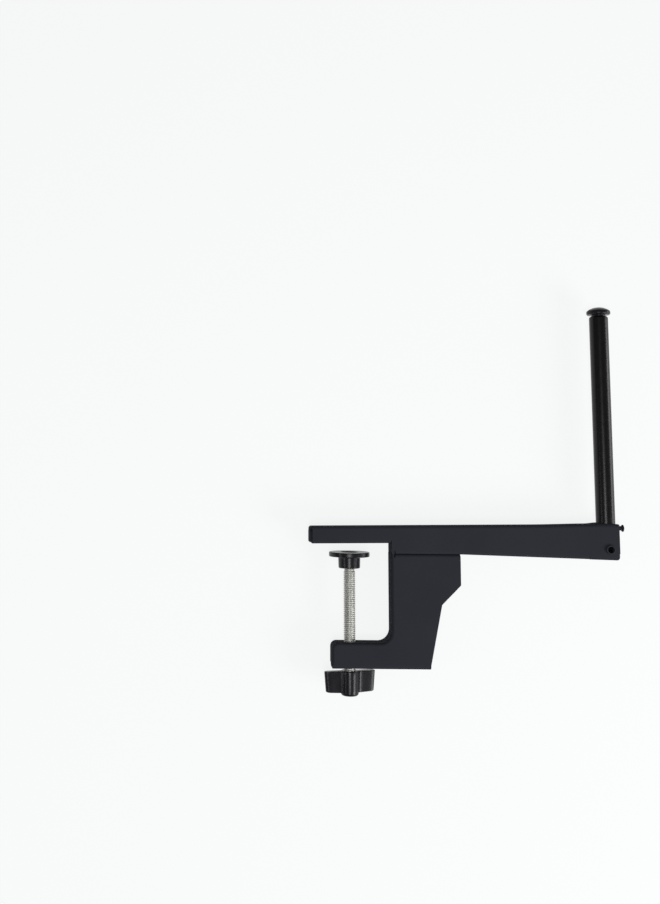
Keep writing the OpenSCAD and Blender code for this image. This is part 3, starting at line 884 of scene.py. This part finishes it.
# %% Mould the pad
PAD_TOP, PAD_BASE, PAD_RIM, PAD_R = -6.2, -17.0, 3.0, 13.8
HOLLOW_R, HOLLOW_LOW = 6.0, -8.4
PIN_BORE, ROD_BORE, ROD_BORE_HIGH = 2.58, 4.08, -10.4
pad_under = PAD_TOP - PAD_RIM
pad_line = rounded(
    [
        (PIN_BORE, -12.0, 0),
        (PIN_BORE, ROD_BORE_HIGH, 0.05),
        (ROD_BORE, ROD_BORE_HIGH, 0.05),
        (ROD_BORE, PAD_BASE, 0.3),
        (7.3, PAD_BASE, 0.7),
        (7.5, pad_under - 0.9, 0.2),
        (8.4, pad_under, 0.4),
        (PAD_R, pad_under, 0.4),
        (PAD_R, PAD_TOP, 0.5),
        (HOLLOW_R, PAD_TOP, 0.3),
        (HOLLOW_R, HOLLOW_LOW, 0.2),
        (PIN_BORE, HOLLOW_LOW, 0.1),
        (PIN_BORE, -12.0, 0),
    ],
    7,
)
pad = make_piece("swivel_pad_plastic", [turned(pad_line, 96)], (0, -1, 0), closed=True)
finish_edges(pad, 0, 40)
hand_over(pad, "swivel_pad", black_plastic)

# %% [markdown]
# ## The wing knob
# A hub with two wings, moulded on the screw. Seen from above it is a long rounded bar that swells
# to the hub, with hollow curves between. The sides are a little narrower at the bottom, and the
# round hub stands out below the wings. The wings are one closed grid and the hub is turned; a
# Boolean joins them, which keeps the crisp crease that one smooth grid would lose.

# %% Mould the knob
KNOB_TOP, WING_H, WING_FALL, HUB_H = -84.7, 13.5, 1.0, 16.2
KNOB_HALF, WING_HALF, HUB_R = 17.95, 2.3, 6.0
WING_TAPER = 1.1
WING_TOP_R, WING_LOW_R = 0.5, 0.8
KNOB_TURN = np.radians(14)


def knob_plan(count=240):
    """The outline seen from above as distance from the axis over the angle: the larger of the hub's
    circle and the wing's bar, softened where they meet, and a round end on each wing."""
    angle = np.linspace(0, 2 * np.pi, count, endpoint=False)
    along, across = np.abs(np.cos(angle)), np.abs(np.sin(angle))
    end = KNOB_HALF - WING_HALF
    root = np.sqrt(np.maximum(WING_HALF**2 - (end * across) ** 2, 0))
    tip = end * along + root
    bar = WING_HALF / np.maximum(across, 1e-6)
    wing = np.where((bar * along < end), bar, np.minimum(tip, KNOB_HALF))
    sharp = 5.0  # the higher, the tighter the hollow between hub and wing
    blend = (np.minimum(wing, 40.0) ** sharp + HUB_R**sharp) ** (1 / sharp)
    reach = smooth((wing - HUB_R) / 5.0)
    radius = np.where(wing > HUB_R, blend * (1 - reach) + wing * reach, HUB_R + (blend - HUB_R) * 0.4)
    return np.stack([radius * np.cos(angle), radius * np.sin(angle)], axis=1)


def wing_depth(x):
    """Depth of the wings' lower edge: it falls evenly from the tips to the hub."""
    return WING_H + WING_FALL * (1 - np.clip(np.abs(x) / KNOB_HALF, 0, 1))


def wing_grid():
    """Rows run from the middle of the top out over its edge, down the side, round the lower edge
    and back to the middle. Each row is the plan, drawn in by the edge's rounding."""
    plan = knob_plan()
    dist = np.hypot(plan[:, 0], plan[:, 1])
    out = plan / dist[:, None]
    depth = wing_depth(plan[:, 0])
    turn = np.linspace(0, np.pi / 2, 6)
    top_r, low_r = WING_TOP_R, WING_LOW_R
    rows = [(plan * share, 0 * dist) for share in (0.0, 0.3, 0.6, 0.85)]
    for a in turn:
        rows.append((plan - out * top_r * (1 - np.sin(a)), top_r * (1 - np.cos(a)) + 0 * dist))
    rows += [(plan, top_r + (depth - low_r - top_r) * t) for t in (0.15, 0.4, 0.65, 0.9)]
    for a in turn:
        rows.append((plan - out * low_r * (1 - np.cos(a)), depth - low_r * (1 - np.sin(a))))
    low = plan - out * low_r
    rows += [(low * share, wing_depth(low[:, 0] * share)) for share in (0.8, 0.6, 0.4, 0.2, 0.0)]
    xy = np.stack([r[0] for r in rows])
    deep = np.stack([r[1] for r in rows])
    x = xy[..., 0] * (1 - WING_TAPER * np.clip(deep / WING_H, 0, 1) / KNOB_HALF)
    y = xy[..., 1]
    cos, sin = np.cos(KNOB_TURN), np.sin(KNOB_TURN)
    return np.stack([x * cos - y * sin, x * sin + y * cos, KNOB_TOP - deep], axis=-1)


knob = make_piece("wing_knob_plastic", [wing_grid()], (0, 0, 1), closed=True)
HUB_LOW, HUB_HIGH = KNOB_TOP - HUB_H, KNOB_TOP - 2
HUB_SKIN = 5.98  # just inside the wings' own swelling, so that no two faces coincide
hub_line = rounded(
    [(0, HUB_LOW, 0), (HUB_SKIN, HUB_LOW, 1.7), (HUB_SKIN, HUB_HIGH, 0), (0, HUB_HIGH, 0)], 8
)
carve(knob, make_piece("hub", [turned(hub_line, 96)], (0, 0, 1), closed=True), "UNION")
drill(knob, (0, 0, THREAD_LOW + 20), 4.06, 40, "z")
finish_edges(knob, 0, 34)
hand_over(knob, "wing_knob", black_plastic)

# %% [markdown]
# ## The post and its rivet
# A drawn tube stands in the arm, and a tubular rivet goes through the arm's walls and the tube's
# foot. Both are turned, because their small roundings come with the profile: the tube's mouth is
# drawn in a little, and the rivet's rims are rolled.

# %% Turn the post and the rivet
POST_TOP = 157.5
TUBE_R, TUBE_BORE = 6.35, 5.15
tube_foot = bottom_line(POST_X) + 1.5
tube_line = rounded(
    [
        (5.6, tube_foot, 0),
        (TUBE_R, tube_foot, 0.15),
        (TUBE_R, POST_TOP - 0.8, 1.2),
        (5.9, POST_TOP, 0.3),
        (TUBE_BORE, POST_TOP, 0.1),
        (TUBE_BORE, tube_foot, 0.15),
        (5.6, tube_foot, 0),
    ],
    5,
)
tube = make_piece("post_tube_steel", [turned(tube_line, 96, (POST_X, 0))], (1, 0, 0), closed=True)
drill(tube, (POST_X, 0, rivet_z), RIVET_HOLE, 30, "y")
drill(tube, (POST_X + 6, 0, stud_z), STUD_HOLE, 8, "x")
finish_edges(tube, 0, 36)
hand_over(tube, "post_tube", black_tube)

RIVET_R, RIVET_BORE = 2.5, 2.05
far_rim = [
    (RIVET_BORE, 8.2, 0.3),
    (2.15, 9.4, 0.5),
    (3.2, 9.35, 0.55),
    (3.25, 8.3, 0.35),
    (RIVET_R, 8.25, 0.1),
]
near_rim = [(r, -along, bend) for r, along, bend in reversed(far_rim)]
seam, start = (RIVET_R, -0.5, 0), (2.3, -0.5, 0)
rivet_line = rounded([start, seam, *near_rim, *far_rim, seam, start], 5)
rivet_skin = lay_along(turned(rivet_line[1:-1], 64), "y") + np.array([POST_X, 0, rivet_z])
rivet = make_piece("post_rivet_steel", [rivet_skin], (0, -1, 0), closed=True)
finish_edges(rivet, 0, 40)
hand_over(rivet, "post_rivet", black_steel)

# %% [markdown]
# ## The cord stud
# A small mushroom: the net's lower cord is wound round its neck. Its root is peened inside the
# post. It is one turned profile laid along X.

# %% Turn the cord stud
STUD_R, STUD_HEAD_R = 1.5, 2.4
root_x = POST_X + np.sqrt(TUBE_BORE**2 - STUD_HEAD_R**2)  # where the root's rim meets the tube
stud_line = rounded(
    [
        (0, root_x - 1.4, 0),
        (STUD_R, root_x - 1.4, 0.2),
        (STUD_HEAD_R, root_x - 0.7, 0.2),
        (STUD_HEAD_R, root_x - 0.05, 0.1),
        (STUD_R, root_x - 0.05, 0.05),
        (STUD_R, END_X + 3.0, 0.3),
        (STUD_HEAD_R, END_X + 3.3, 0.25),
        (STUD_HEAD_R, END_X + 3.9, 0.5),
        (1.2, END_X + 4.4, 0.6),
        (0, END_X + 4.4, 0),
    ],
    5,
)
stud_skin = lay_along(turned(stud_line, 48), "x") + np.array([0, 0, stud_z])
stud = make_piece("cord_stud_steel", [stud_skin], (1, 0, 0), closed=True)
finish_edges(stud, 0, 40)
hand_over(stud, "cord_stud", black_steel)

# %% [markdown]
# ## The cap
# Moulded: a plug that sits in the tube, a short neck and a domed head with a slot in its dome, so
# that the top cord can be laid through and wound round the neck. The profile is turned, and the
# slot is cut with a block.

# %% Mould the cap
CAP_UNDER, CAP_TOP, CAP_R = 158.9, 164.4, 8.0
PLUG_R, NECK_R = 5.1, 4.7
cap_line = rounded(
    [
        (0, POST_TOP - 14, 0),
        (4.6, POST_TOP - 14, 0.3),
        (PLUG_R, POST_TOP - 13, 0.3),
        (PLUG_R, POST_TOP, 0.05),
        (NECK_R, POST_TOP + 0.1, 0.05),
        (NECK_R, CAP_UNDER, 0.3),
        (CAP_R, CAP_UNDER, 1.0),
        (CAP_R, CAP_UNDER + 2.6, 1.3),
        (6.4, CAP_TOP - 1.75, 3.0),
        (3.6, CAP_TOP - 0.5, 6.0),
        (0, CAP_TOP, 0),
    ],
    6,
)
cap = make_piece("post_cap_plastic", [turned(cap_line, 96, (POST_X, 0))], (0, 0, 1), closed=True)
SLOT_TURN = np.radians(12)
SLOT_LOW, SLOT_HIGH, SLOT_REACH, SLOT_HALF = CAP_TOP - 2.4, CAP_TOP + 5.0, 12.0, 0.9


def slot_block():
    """A block along the slot: four upright edges, drawn in to the middle at both ends."""
    along = np.array([-1, 1, 1, -1]) * SLOT_REACH
    across = np.array([-1, -1, 1, 1]) * SLOT_HALF
    share = np.array([0.0, 1.0, 1.0, 0.0])[:, None]
    high = np.array([SLOT_LOW, SLOT_LOW, SLOT_HIGH, SLOT_HIGH])[:, None]
    x = along * np.cos(SLOT_TURN) - across * np.sin(SLOT_TURN)
    y = along * np.sin(SLOT_TURN) + across * np.cos(SLOT_TURN)
    return np.stack([POST_X + share * x, share * y, high + 0 * x], axis=-1)


carve(cap, make_piece("slot", [slot_block()], (0, 0, 1), closed=True))
finish_edges(cap, 0.12, 38)
hand_over(cap, "post_cap", black_plastic)

# %% [markdown]
# ## The board behind, the light and the camera
# The clamp lies on a pale board. To the eye, and in glossy and clear pieces, most of it is its own
# pale colour at a strength of 1, and the rest is paint, which keeps the clamp's shadow.
# Seen from behind, the board lets the eye and the lamps through, so that the other side of the
# clamp can be looked at too.

# %% A pale board
BOARD_Y = 14.6
BOARD_LOW, BOARD_HIGH = -900, 1100
PALE_SHARE = 0.85


def pale_board():
    """A flat square at one depth; its face looks at the clamp."""
    x, z = np.meshgrid([BOARD_LOW, BOARD_HIGH], [BOARD_LOW, BOARD_HIGH])
    board = make_piece("board", [np.stack([x, BOARD_Y + 0.0 * x, z], axis=-1)], (0, -1, 0))
    material, tree = new_material("pale matt board")
    paint = add_node(tree, "ShaderNodeBsdfDiffuse", None, {"Color": linear("#f2f2f3")})
    glow = add_node(
        tree, "ShaderNodeEmission", None, {"Color": linear("#feffff"), "Strength": 1.0}
    )
    path = add_node(tree, "ShaderNodeLightPath").outputs
    seen = path["Is Camera Ray"]
    for ray in ("Is Glossy Ray", "Is Transmission Ray"):
        seen = add_node(
            tree, "ShaderNodeMath", {"operation": "MAXIMUM"}, {0: seen, 1: path[ray]}
        ).outputs[0]
    share = add_node(
        tree, "ShaderNodeMath", {"operation": "MULTIPLY"}, {0: seen, 1: PALE_SHARE}
    ).outputs[0]
    pale = add_node(
        tree, "ShaderNodeMixShader", None, {0: share, 1: paint.outputs[0], 2: glow.outputs[0]}
    )
    clear = add_node(tree, "ShaderNodeBsdfTransparent")
    back = add_node(tree, "ShaderNodeNewGeometry").outputs["Backfacing"]
    both = add_node(
        tree, "ShaderNodeMixShader", None, {0: back, 1: pale.outputs[0], 2: clear.outputs[0]}
    )
    add_node(tree, "ShaderNodeOutputMaterial", None, {"Surface": both.outputs[0]})
    board.data.materials.append(material)
    print("the board lies", BOARD_Y, "mm behind the clamp's middle plane")


pale_board()

# %% [markdown]
# Four disc lamps and a dim even world light it. The strongest lamp stands low on the post's side,
# so that the flat sides turned to the eye are evenly lit and the folds above them a little darker.
# The lamp in front draws the streaks down the round pieces, and stands low too, so that no level
# face mirrors it in the views from above.

# %% Lamps and world
LAMP_AWAY = 1.2
CLAMP_MIDDLE = (0.075, 0.0, 0.03)
WORLD_LEVEL = 0.22


def soft_lamp(name, side, height, width, power):
    """A disc lamp 1.2 m from the clamp's middle. side turns it from straight in front towards the
    post, and height lifts it, both in degrees."""
    lamp = bpy.data.lights.new(name, "AREA")
    lamp.shape = "DISK"
    lamp.size = width
    lamp.energy = power
    holder = bpy.data.objects.new(name, lamp)
    bpy.context.scene.collection.objects.link(holder)
    side, height = np.radians([side, height])
    away = Vector((np.sin(side) * np.cos(height), -np.cos(side) * np.cos(height), np.sin(height)))
    holder.location = Vector(CLAMP_MIDDLE) + LAMP_AWAY * away
    holder.rotation_euler = (-away).to_track_quat("-Z", "Y").to_euler()
    holder.visible_camera = False
    print(name, "lamp at", [round(c, 2) for c in holder.location])


soft_lamp("key", 58, -28, 0.6, 9.5)
soft_lamp("left", -60, -10, 0.25, 0.7)
soft_lamp("front", -8, -10, 0.35, 4.2)
soft_lamp("right", 84, 4, 0.6, 4.0)

world = bpy.data.worlds.new("studio")
bpy.context.scene.world = world
world.use_nodes = True
world.node_tree.nodes.clear()
sky = add_node(
    world.node_tree,
    "ShaderNodeBackground",
    None,
    {"Color": linear("#f4f4f6"), "Strength": WORLD_LEVEL},
)
add_node(world.node_tree, "ShaderNodeOutputWorld", None, {"Surface": sky.outputs[0]})

# %% [markdown]
# The camera looks along +Y from 0.7 m, tilted up a little and turned by less than a degree. The
# lens shift moves the frame instead of the camera, so that upright lines keep their lean.

# %% The camera
CAMERA_AT = np.array([-0.07545, -0.70449, 0.04826])
TILT, PAN, ROLL = np.radians([7.087, -0.0773, 0.5312])
SENSOR, LENS = 36, 40.363
SHIFT = (0.10036, -0.11897)


def aim_camera():
    """The view direction comes from tilt and pan; right and up are made square to it, and turned
    round it by the roll."""
    ahead = np.array([np.sin(PAN) * np.cos(TILT), np.cos(PAN) * np.cos(TILT), np.sin(TILT)])
    flat = np.cross(ahead, [0, 0, 1.0])
    flat /= np.linalg.norm(flat)
    over = np.cross(flat, ahead)
    right = np.cos(ROLL) * flat + np.sin(ROLL) * over
    up = -np.sin(ROLL) * flat + np.cos(ROLL) * over
    eye = bpy.data.cameras.new("camera")
    eye.sensor_fit = "AUTO"
    eye.sensor_width = SENSOR
    eye.lens = LENS
    eye.shift_x, eye.shift_y = SHIFT
    eye.clip_start, eye.clip_end = 0.01, 20
    holder = bpy.data.objects.new("camera", eye)
    bpy.context.scene.collection.objects.link(holder)
    turn = Matrix((right, up, -ahead)).transposed().to_4x4()
    holder.matrix_world = Matrix.Translation(CAMERA_AT) @ turn
    bpy.context.scene.camera = holder
    print("camera at", CAMERA_AT.tolist(), "lens", LENS, "mm")


aim_camera()
bpy.context.scene.view_settings.view_transform = "Standard"
